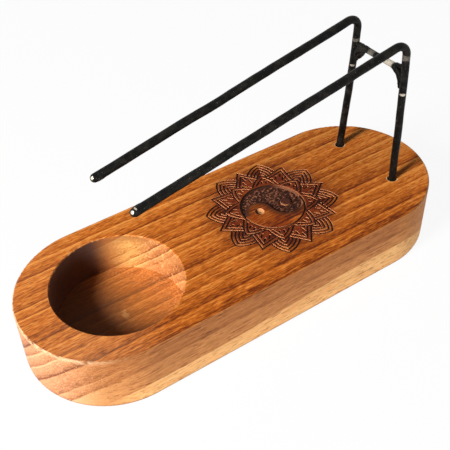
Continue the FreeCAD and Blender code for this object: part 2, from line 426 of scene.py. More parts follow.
@dataclass(frozen=True)
class OiledHardwood:
    """Straight-grained hardwood: oiled on top, dry on the sides, with sapwood and a burnt medallion.

    A span says where an effect starts and where it is full, in millimetres.
    """

    sizes: BlockSizes = BlockSizes()
    colours: WoodColours = WoodColours()
    roughness: float = 0.6
    specular: float = 0.14
    relief: float = 0.1
    ring_rise: float = 1.1
    ring_edges: tuple[float, ...] = (
        -42.0, -37.2, -27.6, -19.9, -13.9, -9.5, 0.0, 3.0, 7.8, 12.0, 20.6, 27.8, 33.5,
    )
    ring_profile: tuple[Span, ...] = ((0.0, 0.0), (0.15, 0.34), (0.4, 0.48), (0.8, 0.6), (1.0, 1.0))
    ring_low: float = -60.0
    ring_high: float = 40.0
    # Where the painted light on the top towards the post end starts and is full.
    post_end_top_light_span: Span = (55.0, 85.0)
    scuffed_span: Span = (-28.5, -32.5)
    worn_span: Span = (-40.0, -80.0)
    worn_near_span: Span = (0.0, -30.0)
    # Where the painted light on the sides towards the post end starts and is full.
    post_end_light_span: Span = (50.0, 72.0)
    # Where the painted shade along the bottom edge starts and is full.
    bottom_shade_span: Span = (1.8, 0.5)
    sapwood_edge: float = -47.5
    sapwood_sink: float = 3.6
    sapwood_sink_span: Span = (42.0, -38.0)
    sapwood_end_span: Span = (-58.0, -76.0)
    smeared_span: Span = (25.0, 16.0)
    # Where the recess's painted half-shade and painted shade start and are full.
    wall_half_shade_span: Span = (16.0, 6.0)
    wall_shade_span: Span = (10.0, 0.0)
    floor_shade_span: Span = (8.0, -10.0)
    # Keeps the pale flecks on the lit side, as painted sparkle.
    lit_fleck_span: Span = (0.0, 8.0)
    soot_span: Span = (4.8, 0.4)
    lit_span: Span = (6.0, 11.0)

    def material(self) -> Material:
        """Make the wood's material.

        Returns:
            The material, patterned on Object coordinates.
        """
        material, graph = new_material("oiled_hardwood")
        at = self._spot(graph)
        figure = self._figure(at)
        wood = self._top(at, figure)
        wood.over(self._side(at), self._flank(at, figure).colour)
        self._recess(at, figure, wood)
        self._post_rims(at, wood)
        mark = self._mark(at)
        self._petals(at, mark, wood)
        rough = self._disc(at, figure, mark, wood)
        self._grooves(at, mark, wood)
        stipple = graph.grain(at.place, (0.55, 0.55, 0.55), 3.0, 51.0)
        height = figure.dash + figure.fleck - figure.pore * 0.6 + rough * stipple * 5.0
        graph.surface({
            "Base Color": wood.colour,
            "Roughness": self.roughness + figure.dash * 0.3 + figure.pore * 0.15 + rough * 0.2,
            "Specular IOR Level": self.specular,
            "Normal": graph.bump(height, self.relief),
        })
        return material

    def _spot(self, graph: Graph) -> Spot:
        """Place on the block, across its growth rings and in the wood's own directions."""
        place = graph.point()
        x, y, z = graph.parts(place)
        depth = self.sizes.height - z
        wander = graph.grain(place, (90.0, 14.0, 14.0), 2.0, 9.0) - 0.5
        flutter = graph.grain(place, (14.0, 3.0, 3.0), 2.0, 3.0) - 0.5
        rings = y - depth / self.ring_rise + wander * 2.2 + flutter * 0.4
        lie = graph.vector(x, rings, depth * -1.0 - y / self.ring_rise)
        return Spot(graph, place, x, y, z, depth, rings, lie)

    def _figure(self, at: Spot) -> Figure:
        """Read the wood's pattern at a place."""
        return Figure(
            self._ring_tone(at) - 0.5,
            at.graph.grain(at.lie, (60.0, 1.8, 9.0), 3.0, 1.0) - 0.5,
            at.graph.grain(at.lie, (9.0, 0.7, 3.0), 3.0, 5.0) - 0.5,
            at.graph.grain(at.lie, (2.6, 0.4, 1.2), 2.0, 17.0) - 0.5,
            at.graph.grain(at.lie, (5.0, 0.28, 0.6), 1.0, 13.0).fade(0.61, 0.72),
            at.graph.grain(at.lie, (12.0, 0.7, 1.5), 1.0, 19.0).fade(0.6, 0.7),
        )

    def _ring_tone(self, at: Spot) -> Value:
        """Lightness over the rings: each starts with a dark line and ends with a pale one."""
        span = self.ring_high - self.ring_low
        stops = []
        for number, edge in enumerate(self.ring_edges):
            dark = 0.1 + 0.1 * math.sin(2.3 * number)
            light = 0.9 + 0.1 * math.cos(1.7 * number)
            stops.append(((edge - 0.1 - self.ring_low) / span, (light,) * 3))
            stops.append(((edge + 0.15 - self.ring_low) / span, (dark,) * 3))
        along_ring = Value(at.graph, at.graph.ramp((at.rings - self.ring_low) / span, stops))
        profile = [(place, (level,) * 3) for place, level in self.ring_profile]
        return Value(at.graph, at.graph.ramp(along_ring, profile))

    def _past_straight(self, at: Spot) -> Value:
        """Distance along X past the block's straight part, at either end."""
        return (abs(at.x) - (self.sizes.half_length - self.sizes.half_width)).most(0.0)

    def _side(self, at: Spot) -> Value:
        """Mask of the block's sides and ends."""
        half_width = self.sizes.half_width
        return self._past_straight(at).across(at.y).fade(half_width - 0.6, half_width - 0.25)

    def _top(self, at: Spot, figure: Figure) -> Layers:
        """Oiled top, in painted light towards the post end against the lamp's falloff, dark along the
        scuffed near edge and worn at the recess end.
        """
        tints = self.colours
        # Painted light: the top lighter towards the post end, against the lamp's falloff.
        tone = figure.tone(1.3, 0.4, 1.15, 1.6) + at.y * 0.002 + at.x.fade(*self.post_end_top_light_span) * 0.19
        tone = tone + at.y.fade(*self.scuffed_span) * (figure.dash * 1.2 - 0.28)
        top = Layers(at.graph, at.graph.shades(tone, tints.oiled))
        near = 0.2 + at.y.fade(*self.worn_near_span) * 0.35
        top.over(at.x.fade(*self.worn_span) * (0.5 + figure.fleck) * near, tints.worn)
        top.over(figure.pore * 0.65, tints.oiled_pore)
        top.stain(figure.vessel * 0.4, tints.oiled_vessel)
        return top

    def _flank(self, at: Spot, figure: Figure) -> Layers:
        """Dry sides, end grain round the ends with a pale ragged upper edge that is partly torn fibres and
        partly painted highlight, painted glints on the ends, painted light towards the post end, sapwood low
        on the near side and painted shade along the bottom edge.
        """
        graph = at.graph
        tints = self.colours
        end = (self._past_straight(at) / self.sizes.half_width).fade(0.15, 0.9)
        straight = 1 - end
        tone = figure.tone(0.5, 0.5, 0.9, 0.6)
        flank = Layers(graph, graph.shades(tone, tints.dry))
        flank.over(end, graph.shades(figure.tone(1.6, 0.4, 0.9, 0.8), tints.end_grain))
        flank.stain(end * straight * 4, tints.turned)
        # Painted light: the sides lighter towards the post end, against the lamp's falloff.
        flank.over(at.x.fade(*self.post_end_light_span) * 0.45, tints.post_end_painted_light)
        flank.over(self._sapwood(at), graph.shades(tone, tints.sapwood))
        flank.stain(figure.vessel * straight * 0.7, tints.dry_vessel)
        flank.over(figure.pore * straight * 0.5, tints.dry_pore)
        dashes = graph.grain(at.place, (3.6, 3.6, 0.5), 1.0, 71.0).fade(0.6, 0.69)
        flank.stain(dashes * straight * 0.75, tints.dry_dash)
        # The ends' upper edge: torn fibres, and a painted highlight.
        torn = graph.grain(at.place, (1.6, 1.6, 0.5), 3.0, 61.0).fade(0.4, 0.58)
        flank.over(end * torn * at.depth.fade(2.4, 0.6) * 0.8, tints.torn_and_highlit_edge)
        glints = graph.grain(at.place, (0.5, 0.5, 0.6), 2.0, 67.0).fade(0.58, 0.68)
        flank.over(end * glints * 0.5, tints.glint)
        # Painted shade along the bottom edge, darker towards the floor.
        flank.over(at.z.fade(*self.bottom_shade_span) * 0.7, tints.bottom_painted_shade)
        return flank

    def _sapwood(self, at: Spot) -> Value:
        """Mask of the sapwood, whose edge sinks towards the recess end and fades out on its curve."""
        sunk = at.rings + at.x.fade(*self.sapwood_sink_span) * self.sapwood_sink
        young = sunk.fade(self.sapwood_edge + 0.4, self.sapwood_edge - 0.4)
        return young * (1 - at.x.fade(*self.sapwood_end_span) * 0.85)

    def _bored_wall(self, at: Spot, figure: Figure, tear: Value) -> Layers:
        """Bored wall: pale with torn fibres, smeared under the rim, in painted half-shade and painted shade
        towards the block's end.
        """
        graph = at.graph
        sizes = self.sizes
        tints = self.colours
        along = at.x - sizes.recess_x
        tone = figure.tone(1.6, 0.6, 0.9, 1.0)
        bored = Layers(graph, graph.shades(tone, tints.bored_end))
        bored.over((abs(at.y) / sizes.recess_radius).fade(0.5, 0.85), graph.shades(tone, tints.bored_side))
        bored.over(tear.fade(0.56, 0.7) * 0.5, tints.bored_torn)
        smeared = at.depth.fade(5.0, 0.5) * along.fade(*self.smeared_span)
        bored.over(smeared * (0.6 + tear * 0.6) * 0.8, tints.smeared)
        # Painted half-shade, then painted shade, over the wall towards the block's end.
        bored.over(along.fade(*self.wall_half_shade_span) * 0.7, tints.wall_painted_half_shade)
        bored.over(along.fade(*self.wall_shade_span) * 0.95, tints.wall_painted_shade)
        return bored

    def _recess(self, at: Spot, figure: Figure, wood: Layers) -> None:
        """Add the recess: its wall, its floor with pale flecks and painted sparkle on the lit side and
        painted shade towards the block's end, the bit's mark, and its torn rim.
        """
        graph = at.graph
        sizes = self.sizes
        tints = self.colours
        along = at.x - sizes.recess_x
        outside = along.across(at.y) - sizes.recess_radius
        tear = graph.grain(at.place, (1.4, 1.4, 1.4), 3.0, 21.0)
        floor = at.z.fade(sizes.recess_floor + 0.6, sizes.recess_floor + 0.1) * outside.fade(0.3, 0.1)
        wood.over(floor * 0.4, tints.floor)
        # Painted shade on the floor towards the block's end.
        wood.over(floor * along.fade(*self.floor_shade_span) * 0.6, tints.floor_painted_shade)
        wall = outside.fade(-0.4, -0.05) * outside.fade(0.6, 0.3) * at.depth.fade(0.1, 0.5)
        wood.over(wall, self._bored_wall(at, figure, tear).colour)
        # Pale flecks near the wall on the lit side: dust, and painted sparkle.
        dust_and_sparkle = graph.grain(at.place, (0.9, 0.6, 0.6), 2.0, 63.0).fade(0.48, 0.66)
        flecked = floor * outside.fade(-14.0, -0.2) * along.fade(*self.lit_fleck_span)
        wood.over(flecked * dust_and_sparkle * 0.5, tints.dust_and_sparkle)
        spur = (along - 0.8).across((at.y + 0.6) * 0.5) + (tear - 0.5) * 6.0
        wood.over(floor * spur.fade(1.6, 0.4) * 0.5, tints.spur_mark)
        rim = abs(outside - 0.2).fade(0.5, 0.1) * at.depth.fade(1.2, 0.2)
        wood.over(rim * tear.fade(0.52, 0.66) * 0.6, tints.recess_rim)

    def _post_rims(self, at: Spot, wood: Layers) -> None:
        """Add the raw rims of the post holes."""
        sizes = self.sizes
        over = at.y - sizes.post_offset
        slant = over * (-sizes.post_stagger / 2 / sizes.post_half)
        radius = (at.x - sizes.post_x - slant).across(abs(over) - sizes.post_half)
        tear = at.graph.grain(at.place, (1.2, 1.2, 1.2), 3.0, 23.0)
        raw = radius.fade(sizes.post_hole + 0.6, sizes.post_hole + 0.2) * tear.fade(0.38, 0.52)
        wood.over(raw * at.depth.fade(1.2, 0.2) * 0.9, self.colours.hole_rim)

    def _mark(self, at: Spot) -> Mark:
        """Place in the medallion's directions."""
        sizes = self.sizes
        turn = math.radians(sizes.disc_turn)
        from_middle = at.x - sizes.medallion_x
        to_left = at.y - sizes.medallion_y
        along = from_middle * math.cos(turn) + to_left * math.sin(turn)
        over = to_left * math.cos(turn) - from_middle * math.sin(turn)
        radius = along.across(over)
        past_ring = radius - sizes.ring_radius
        return Mark(
            along, over, radius, past_ring, radius - sizes.medallion_radius, at.depth.fade(2.0, 1.6),
        )

    def _petals(self, at: Spot, mark: Mark, wood: Layers) -> None:
        """Stain the petals with smoke, darkest next to the disc."""
        cloud = at.graph.grain(at.place, (3.5, 3.5, 3.5), 3.0, 31.0)
        reach = mark.past_petals + (cloud - 0.5) * 10.0
        haze = reach.fade(0.5, -6.5) * mark.past_petals.fade(0.5, -1.5) * mark.layer
        smoke = mark.past_petals.fade(5.0, -2.0) * cloud * mark.layer
        haze = haze.most(smoke * 0.7) * mark.past_ring.fade(-0.6, 0.4)
        wood.stain(haze * (0.55 + cloud), self.colours.haze)

    def _disc(self, at: Spot, figure: Figure, mark: Mark, wood: Layers) -> Value:
        """Burn the two drops: one smooth and sooty towards the seam, the other sunk and stippled. Paint
        light on the pocket's wall that faces the lamp, and paint shade on the dimple's side away from it.

        Args:
            at: Place on the block.
            figure: The wood's pattern there.
            mark: The place in the medallion's directions.
            wood: Colours so far, which the burns are laid over.

        Returns:
            A mask of the stippled floor.
        """
        graph = at.graph
        sizes = self.sizes
        tints = self.colours
        half = sizes.drop_radius / 2
        from_island = (mark.along - half).across(mark.over)
        from_dimple = (mark.along + half).across(mark.over)
        in_tail = (half - from_dimple).most(mark.over * -40.0)
        past_head = (from_island - half).most(mark.over * 40.0)
        to_seam = in_tail.least(past_head)
        inside = mark.past_ring.fade(-0.2, -0.6) * mark.layer
        wood.stain(inside * (0.85 - figure.dash * 2.2), tints.smoked)
        wood.over(inside * to_seam.fade(*self.soot_span) * 0.9, tints.soot)
        wall = at.depth.fade(0.04, 0.12) * at.depth.fade(1.05, 0.95) * inside
        wood.over(wall, tints.pocket_wall)
        lit = mark.radius.fade(half * 1.5, half * 1.8) * mark.along.fade(*self.lit_span)
        wood.over(wall * lit, tints.pocket_wall_lit)
        sunk = at.depth.fade(0.75, 1.0) * inside
        ash = graph.grain(at.place, (0.9, 0.7, 0.7), 3.0, 41.0)
        wood.over(sunk, graph.shades(ash, tints.ash, (0.36, 0.52, 0.66)))
        island = from_island.fade(sizes.island_radius + 0.1, sizes.island_radius - 0.1) * mark.layer
        wood.over(island, tints.island)
        wood.over(island * at.depth.fade(0.5, 0.2), tints.island_top)
        dimple = from_dimple.fade(sizes.dimple_radius + 0.1, sizes.dimple_radius - 0.15) * mark.layer
        wood.over(dimple, tints.dimple)
        # Painted shade on the dimple's side away from the lamp.
        wood.over(dimple * (mark.along + half).fade(0.5, -0.7), tints.dimple_painted_shade)
        return sunk

    def _grooves(self, at: Spot, mark: Mark, wood: Layers) -> None:
        """Char the floors of the cut lines and leave their walls pale, but not along the sunk drop."""
        groove_depth = self.sizes.groove_depth
        tints = self.colours
        lines = mark.past_petals.fade(1.4, 0.8) * mark.past_ring.fade(-0.9, -0.75) * mark.layer
        pocket = mark.past_ring.fade(0.2, 0.1) * mark.over.fade(-0.3, 0.3)
        wall = at.depth.fade(0.02, 0.06) * lines
        wood.over(wall * (1 - pocket), tints.groove_wall)
        wood.over(wall * pocket, tints.pocket_wall)
        wood.over(wall * pocket * mark.along.fade(*self.lit_span), tints.pocket_wall_lit)
        floor = at.depth.fade(groove_depth * 0.4, groove_depth * 0.75) * lines
        wood.over(floor * (1 - pocket), tints.char)


@dataclass(frozen=True)
class BarePatch:
    """Place on a wire where the black scale is ground away, inside an ellipsoid; on the tips it also serves
    as a painted highlight.
    """

    middle: Triple
    half: Triple
    strength: float = 1.0


@dataclass(frozen=True)
class BlackScale:
    """Steel under black mill scale, with bare patches."""

    name: str
    patches: tuple[BarePatch, ...] = ()
    black: Colour = paint(10, 10, 9)
    brown: Colour = paint(36, 33, 28)
    bare: Colour = paint(196, 186, 168)
    speck_share: float = 0.5
    lump: float = 0.05
    roughness: float = 0.42

    def material(self) -> Material:
        """Make the steel's material.

        Returns:
            The material, patterned on Object coordinates.
        """
        material, graph = new_material(self.name)
        place = graph.point()
        blotch = graph.grain(place, (2.5, 2.5, 2.5), 4.0, 2.0)
        speck = graph.grain(place, (0.45, 0.45, 0.45), 3.0, 7.0)
        scale = graph.blend(blotch.fade(0.42, 0.68) * 0.7, self.black, self.brown)
        scale = graph.blend(speck.fade(0.66, 0.78) * self.speck_share, scale, self.bare)
        ground: Value | float = 0.0
        for patch in self.patches:
            edge = graph.distance(place, patch.middle, patch.half) + (blotch - 0.5) * 1.4
            mask = edge.fade(1.0, 0.6) * patch.strength * speck.fade(0.25, 0.5)
            ground = mask.most(ground)
        colour = scale
        metallic: Value | float = 0.0
        if self.patches:
            colour = graph.blend(ground, scale, self.bare)
            metallic = ground * 0.7
        height = blotch * 0.6 + speck * 0.4
        graph.surface({
            "Base Color": colour,
            "Metallic": metallic,
            "Roughness": self.roughness + (speck - 0.5) * 0.3 + (blotch - 0.5) * 0.2 - metallic * 0.1,
            "Specular IOR Level": 0.08,
            "Normal": graph.bump(height, self.lump),
        })
        return material


def held(number: float) -> float:
    """A number held between 0 and 1."""
    return min(1.0, max(0.0, number))


def hand_made(point: Vector, cell: float, amount: float) -> Vector:
    """Small wander of a hand-made form.

    Args:
        point: Place in millimetres.
        cell: Size of the wander's waves in millimetres.
        amount: Largest offset in millimetres.

    Returns:
        The offset in millimetres.
    """
    return noise.noise_vector(point / cell) * amount


def rounded_path(corners: list[Vector], radii: list[float], step: float) -> list[Vector]:
    """Points along straight runs with rounded corners.

    Args:
        corners: Ends and corners of the path.
        radii: Bend radius at each inner corner.
        step: Spacing of the points on the straight runs.

    Returns:
        The points from the first end to the last.
    """
    points = [corners[0]]

    def run_to(end: Vector) -> None:
        start = points[-1]
        count = max(1, round((end - start).length / step))
        points.extend(start.lerp(end, (number + 1) / count) for number in range(count))

    for number, radius in enumerate(radii, 1):
        corner = corners[number]
        back = (corners[number - 1] - corner).normalized()
        ahead = (corners[number + 1] - corner).normalized()
        half = back.angle(ahead) / 2
        setback = radius / math.tan(half)
        handle = 4 / 3 * math.tan((math.pi / 2 - half) / 2) * radius
        enter = corner + back * setback
        leave = corner + ahead * setback
        run_to(enter)
        arc = interpolate_bezier(enter, enter - back * handle, leave - ahead * handle, leave, 14)
        points.extend(arc[1:])
    run_to(corners[-1])
    return points


class Sweep:
    """Round bar grown ring by ring along a path."""

    segments = 24

    def __init__(self, points: list[Vector], radii: list[float]) -> None:
        """Grow the bar.

        Args:
            points: Centre line in millimetres.
            radii: Radius at each point.
        """
        self.mesh = bmesh.new()
        headings = [
            (points[min(number + 1, len(points) - 1)] - points[max(number - 1, 0)]).normalized()
            for number in range(len(points))
        ]
        turn = headings[0].to_track_quat("Z", "Y")
        ring = bmesh.ops.create_circle(
            self.mesh, cap_ends=True, segments=self.segments, radius=radii[0],
            matrix=Matrix.Translation(points[0]) @ turn.to_matrix().to_4x4(),
        )["verts"]
        edges = list({edge for vertex in ring for edge in vertex.link_edges if len(edge.link_faces) == 1})
        for number in range(1, len(points)):
            edges = self._grow(
                edges, points[number - 1:number + 1], headings[number - 1:number + 1],
                radii[number] / radii[number - 1],
            )
        bmesh.ops.holes_fill(self.mesh, edges=edges, sides=0)

    def _grow(
        self, edges: list[bmesh.types.BMEdge], ends: list[Vector], headings: list[Vector], growth: float
    ) -> list[bmesh.types.BMEdge]:
        """Extrude the last ring to the next point, turned and scaled to suit.

        Args:
            edges: The last ring.
            ends: Where the ring is and where it goes.
            headings: Direction of the path at both.
            growth: Ratio of the radii.

        Returns:
            The new ring.
        """
        made = bmesh.ops.extrude_edge_only(self.mesh, edges=edges)["geom"]
        verts = [item for item in made if isinstance(item, bmesh.types.BMVert)]
        turn = headings[0].rotation_difference(headings[1]).to_matrix().to_4x4()
        move = Matrix.Translation(ends[1]) @ turn @ Matrix.Scale(growth, 4) @ Matrix.Translation(-ends[0])
        bmesh.ops.transform(self.mesh, matrix=move, verts=verts)
        return [item for item in made if isinstance(item, bmesh.types.BMEdge)]


def finished(name: str, mesh: bmesh.types.BMesh, material: Material) -> Object:
    """Turn a mesh in millimetres into an object in the frame.

    Args:
        name: Name of the piece.
        mesh: Its shape, which is freed.
        material: Its finish.

    Returns:
        The object, at the origin.
    """
    bmesh.ops.remove_doubles(mesh, verts=mesh.verts, dist=1e-4)
    bmesh.ops.recalc_face_normals(mesh, faces=mesh.faces)
    bmesh.ops.scale(mesh, vec=(MM, MM, MM), verts=mesh.verts)
    for face in mesh.faces:
        face.smooth = True
    data = bpy.data.meshes.new(name)
    mesh.to_mesh(data)
    mesh.free()
    data.materials.append(material)
    item = bpy.data.objects.new(name, data)
    bpy.context.scene.collection.objects.link(item)
    return item


class Side(Enum):
    """Sides of the holder: left is +Y, the far one, and right is -Y, the near one."""

    LEFT = 1
    RIGHT = -1

    @property
    def word(self) -> str:
        """Name of the side as the nodes have it."""
        return self.name.lower()


@dataclass(frozen=True)
class HandWork:
    """What one side of the holder got by hand.

    The post has a bare band at a height and a rubbed spot. The upper bead rises over the brace. The lower
    bead hangs under it, stands out from the post and may be tilted. Painted highlights, bare bright metal
    where the lamp's glint falls, are placed from the tip.
    """

    band_z: float
    band_half: float
    rubbed_share: float
    upper_rise: float
    lower_drop: float
    lower_out: float
    lower_tilt: float
    lower_half: Triple
    tip_glints: tuple[BarePatch, ...]


# Painted highlights on the tips: bare bright metal placed where the lamp's glint falls.
TIP_END_GLINT = BarePatch((-1.2, -0.6, 0.9), (0.8, 0.7, 0.8))
TIP_TOP_GLINT = BarePatch((0.3, -0.3, 1.6), (0.5, 1.0, 0.6))
HAND_WORK = {
    Side.LEFT: HandWork(
        band_z=79.7, band_half=0.9, rubbed_share=0.6, upper_rise=0.5,
        lower_drop=4.0, lower_out=1.6, lower_tilt=42.0, lower_half=(1.2, 1.1, 4.2),
        tip_glints=(TIP_END_GLINT,),
    ),
    Side.RIGHT: HandWork(
        band_z=83.8, band_half=1.5, rubbed_share=1.0, upper_rise=1.0,
        lower_drop=5.0, lower_out=0.0, lower_tilt=0.0, lower_half=(1.0, 1.2, 3.4),
        tip_glints=(TIP_END_GLINT, TIP_TOP_GLINT),
    ),
}


@dataclass
class WireHolder:
    """The lift-out holder: two bent wires, a brace, weld beads and tip stops."""

    body: str = "holder"
    stagger: float = BlockSizes.post_stagger
    bend_stagger: float = 0.9
    post_x: float = BlockSizes.post_x
    post_half: float = BlockSizes.post_half
    post_offset: float = BlockSizes.post_offset
    bend_x: float = 67.7
    bend_half: float = 12.75
    bend_z: float = 90.3
    bend_radius: float = 4.6
    tip_x: float = -50.0
    tip_half: float = 11.8
    tip_z: float = 65.9
    foot_z: float = 8.0
    lean_z: float = 27.2
    lean_radius: float = 20.0
    wire_radius: float = 1.6
    wire_step: float = 1.5
    post_share: float = 0.95
    arm_share: float = 1.05
    easing: float = 8.0
    bow: float = 0.5
    rubbed_z: float = 68.0
    rubbed_half: Triple = (1.3, 1.3, 0.55)
    band_share: float = 0.2
    brace_z: float = 77.6
    brace_radius: float = 1.25
    brace_step: float = 1.0
    brace_leg: float = 7.0
    brace_corner: float = 5.6
    leg_offset: float = 1.45
    upper_out: float = 1.3
    upper_half: Triple = (2.4, 1.15, 0.85)
    weld_lumps: float = 0.2
    stop_length: float = 7.0
    stop_radius: float = 1.35
    stop_out: float = 0.75
    stop_lumps: float = 0.1

    def build(self) -> list[Object]:
        """Build and dress every piece of the holder.

        Returns:
            The pieces.
        """
        weld = BlackScale("weld_metal", lump=0.25, roughness=0.38, speck_share=0.8).material()
        pieces = [self._brace()]
        for side in Side:
            # The tip's metal carries the tip's painted highlights, as the wire does.
            tip = BlackScale(side.word + "_tip_metal", self._tip_glint_patches(side), lump=0.04, roughness=0.3)
            tip_metal = tip.material()
            pieces.append(self._rod(side))
            pieces.append(self._upper_weld(side, weld))
            pieces.append(self._lower_weld(side, weld))
            pieces.append(self._tip_stop(side, tip_metal))
        return pieces

    def _piece(
        self, name: str, mesh: bmesh.types.BMesh, material: Material, node: str
    ) -> Object:
        """Finish a piece and put it on the holder in place of its CAD node."""
        item = finished(name, mesh, material)
        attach(item, self.body)
        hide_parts(node)
        return item

    def _corners(self, side: Side) -> list[Vector]:
        """Foot, lean point, bend and tip of one wire's centre line."""
        sign = side.value
        shift = -sign * self.stagger / 2
        post_y = self.post_offset + sign * self.post_half
        return [
            Vector((self.post_x + shift, post_y, self.foot_z)),
            Vector((self.post_x + shift, post_y, self.lean_z)),
            Vector((self.bend_x - sign * self.bend_stagger / 2, sign * self.bend_half, self.bend_z)),
            Vector((self.tip_x + shift, sign * self.tip_half, self.tip_z)),
        ]

    def _post_point(self, side: Side, height: float) -> Vector:
        """Point of a leaning and slightly bowed post's centre line at a height."""
        lean, bend = self._corners(side)[1:3]
        return lean.lerp(bend, (height - lean.z) / (bend.z - lean.z)) + self._bowed(height)

    def _bowed(self, height: float) -> Vector:
        """How far a post is bowed from the straight line at a height."""
        share = held((height - self.lean_z) / (self.bend_z - self.lean_z))
        return Vector((self.bow * math.sin(math.pi * share), 0, 0))

    def _inward(self, side: Side) -> Vector:
        """Level direction at the brace from one post to the other."""
        here, there = (self._post_point(Side(sign), self.brace_z) for sign in (side.value, -side.value))
        return (there - here).normalized()

    def _beside(self, side: Side, height: float, distance: float) -> Vector:
        """Point at a height and a distance from a post's centre line, towards the other post."""
        return self._post_point(side, height) + self._inward(side) * distance

    def _rod(self, side: Side) -> Object:
        """One bent wire, a little wavy, stouter along the sooty arm, with a rounded tip."""
        points = []
        radii = []
        for point in rounded_path(self._corners(side), [self.lean_radius, self.bend_radius], self.wire_step):
            free = held((point.z - self.lean_z) / self.easing)
            on_arm = held((self.bend_x - self.bend_stagger - point.x) / self.easing)
            wave = hand_made(point, 17.0, 0.22) + hand_made(point, 5.0, 0.06)
            points.append(point + wave * free + self._bowed(point.z) * (1 - on_arm))
            stout = self.post_share + (self.arm_share - self.post_share) * on_arm
            radii.append(self.wire_radius * (stout + 0.03 * free * noise.noise(point / 4.0)))
        self._round_tip(points, radii)
        hand = HAND_WORK[side]
        rubbed = self._post_point(side, self.rubbed_z) + Vector((-1.0, -1.0, 0.0))
        band_middle = self._post_point(side, hand.band_z)
        patches = (
            BarePatch(rubbed[:], self.rubbed_half, hand.rubbed_share),
            BarePatch(band_middle[:], (9.0, 9.0, hand.band_half), self.band_share),
            # Painted highlights on the tip.
            *self._tip_glint_patches(side),
        )
        material = BlackScale(side.word + "_black_wire", patches).material()
        mesh = Sweep(points, radii).mesh
        return self._piece(side.word + "_wire", mesh, material, side.word + "_rod")

    def _tip_glint_patches(self, side: Side) -> tuple[BarePatch, ...]:
        """Painted highlights on a tip: bare bright metal where the lamp's glint falls."""
        bend, tip = self._corners(side)[2:]
        ball = tip + (bend - tip).normalized() * self.wire_radius
        side_glints = HAND_WORK[side].tip_glints
        return tuple(replace(spot, middle=(ball + Vector(spot.middle))[:]) for spot in side_glints)

    def _round_tip(self, points: list[Vector], radii: list[float]) -> None:
        """Replace the last run of a centre line by a ball-shaped end."""
        end = points.pop()
        radius = radii.pop()
        heading = (end - points[-1]).normalized()
        points[-1] = end - heading * radius
        for degrees in (20, 40, 57, 72, 84):
            angle = math.radians(degrees)
            points.append(end - heading * radius * (1 - math.sin(angle)))
            radii.append(radius * math.cos(angle))

    def _brace(self) -> Object:
        """Thin staple between the posts: bare in its middle, lumpy at its corners, with tapered legs."""
        foot = self.brace_z - self.brace_leg
        corners = [self._beside(Side.LEFT, height, self.leg_offset) for height in (foot, self.brace_z)]
        corners += [self._beside(Side.RIGHT, height, self.leg_offset) for height in (self.brace_z, foot)]
        points = []
        radii = []
        for point in rounded_path(corners, [self.brace_corner] * 2, self.brace_step):
            points.append(point + hand_made(point, 9.0, 0.12))
            swell = 0.18 * held((abs(point.y) - 5.5) / 4)
            taper = 0.45 * held((self.brace_z - 3.5 - point.z) / 3.5)
            lump = (0.05 + 0.3 * swell) * noise.noise(point / 1.6)
            radii.append(self.brace_radius * (1.0 + swell - taper + lump))
        middles = ((-4.0, 3.8, 0.95), (4.0, 1.8, 0.18))
        patches = tuple(
            BarePatch((self.bend_x, place, self.brace_z), (20.0, half, 20.0), strength)
            for place, half, strength in middles
        )
        material = BlackScale("brace_wire", patches).material()
        return self._piece("brace_wire", Sweep(points, radii).mesh, material, "cross_brace")

    def _bead(self, middle: Vector, half: Triple, turn: Matrix, lumps: float) -> bmesh.types.BMesh:
        """Lumpy blob of weld metal.

        Args:
            middle: Its middle in millimetres.
            half: Half its extent along its own axes.
            turn: Rotation of its axes.
            lumps: Depth of the lumps.

        Returns:
            Its mesh.
        """
        mesh = bmesh.new()
        matrix = Matrix.Translation(middle) @ turn.to_4x4() @ Matrix.Diagonal(half).to_4x4()
        bmesh.ops.create_icosphere(mesh, subdivisions=4, radius=1.0, matrix=matrix)
        for vertex in mesh.verts:
            out = (vertex.co - middle).normalized()
            lump = noise.noise(vertex.co / 1.1) + 0.5 * noise.noise(vertex.co / 0.5)
            vertex.co += out * lump * lumps
        return mesh

    def _level_turn(self, side: Side) -> Matrix:
        """Axes of a bead beside a post: its first towards the other post, its last up."""
        inward = self._inward(side)
        up = Vector((0, 0, 1))
        return Matrix((inward, up.cross(inward), up)).transposed()

    def _upper_weld(self, side: Side, material: Material) -> Object:
        """Bead from the post over the brace's corner."""
        height = self.brace_z + HAND_WORK[side].upper_rise
        middle = self._beside(side, height, self.wire_radius + self.upper_out)
        mesh = self._bead(middle, self.upper_half, self._level_turn(side), self.weld_lumps)
        word = side.word
        return self._piece(word + "_upper_bead", mesh, material, word + "_upper_weld")

    def _lower_weld(self, side: Side, material: Material) -> Object:
        """Bead down the seam between the brace's leg and the post, on the left tilted across the corner."""
        hand = HAND_WORK[side]
        middle = self._beside(side, self.brace_z - hand.lower_drop, self.wire_radius + hand.lower_out)
        turn = self._level_turn(side) @ Matrix.Rotation(math.radians(hand.lower_tilt), 3, "Y")
        mesh = self._bead(middle, hand.lower_half, turn, self.weld_lumps)
        word = side.word
        return self._piece(word + "_lower_bead", mesh, material, word + "_lower_weld")

    def _tip_stop(self, side: Side, material: Material) -> Object:
        """Low bead on the inner side of the tip."""
        bend, tip = self._corners(side)[2:]
        along = (tip - bend).normalized()
        inward = Vector((0, -side.value, 0))
        middle = tip - along * self.stop_length / 2 + inward * self.stop_out
        turn = along.to_track_quat("X", "Z").to_matrix()
        half = (self.stop_length / 2, self.stop_radius, self.stop_radius)
        mesh = self._bead(middle, half, turn, self.stop_lumps)
        return self._piece(side.word + "_tip_bead", mesh, material, side.word + "_tip_stop")


@dataclass
class Block:
    """The wooden block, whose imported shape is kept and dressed."""

    node: str = "base_block"

    def build(self, nodes: dict[str, Object]) -> list[Object]:
        """Dress the block.

        Args:
            nodes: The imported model's objects by name.

        Returns:
            The dressed object in a list.
        """
        item = nodes[self.node]
        item.data.materials.clear()
        item.data.materials.append(OiledHardwood().material())
        return [item]


